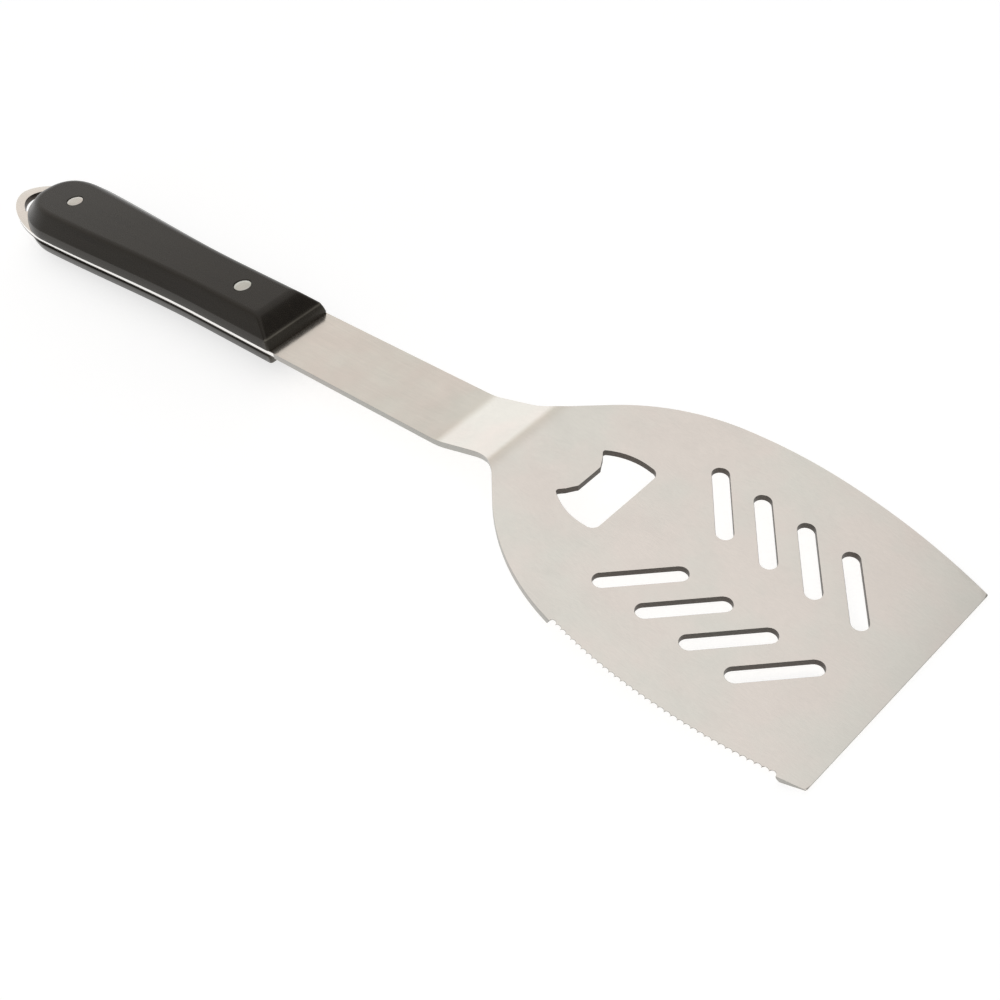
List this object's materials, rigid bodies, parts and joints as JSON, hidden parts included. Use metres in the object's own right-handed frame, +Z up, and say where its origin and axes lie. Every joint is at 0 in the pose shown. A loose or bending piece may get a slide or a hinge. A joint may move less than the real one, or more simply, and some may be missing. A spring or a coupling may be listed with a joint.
{
  "type": "grill spatula",
  "caption": "Long-handled grill spatula: wide slotted steel blade with a serrated side, straight ground front edge and bottle-opener cut-out, bent neck, black riveted grip and hang loop.",
  "frame": {"origin": "bottom centre of the bounding box, on the surface the tool lies on", "axes": "+X from the hang loop to the front edge along the tool, +Y across the blade away from its serrated side, +Z up; the tool lies food side down on the heel of its front edge and the rear end of its handle"},
  "size_m": [0.451, 0.1082, 0.0253],
  "materials": {
    "blade_steel": "satin stainless sheet with a fine lengthwise grain; brighter where the edges are ground",
    "handle_black": "satin black, smooth flat top and softly bevelled sides",
    "rivet_steel": "heads faced flush and finely brushed"
  },
  "bodies": {
    "root": {"blade_and_tang": "blade_steel", "upper_scale": "handle_black", "lower_scale": "handle_black", "front_rivet_sleeve": "rivet_steel", "front_rivet_post": "rivet_steel", "rear_rivet_sleeve": "rivet_steel", "rear_rivet_post": "rivet_steel"}
  },
  "joints": []
}
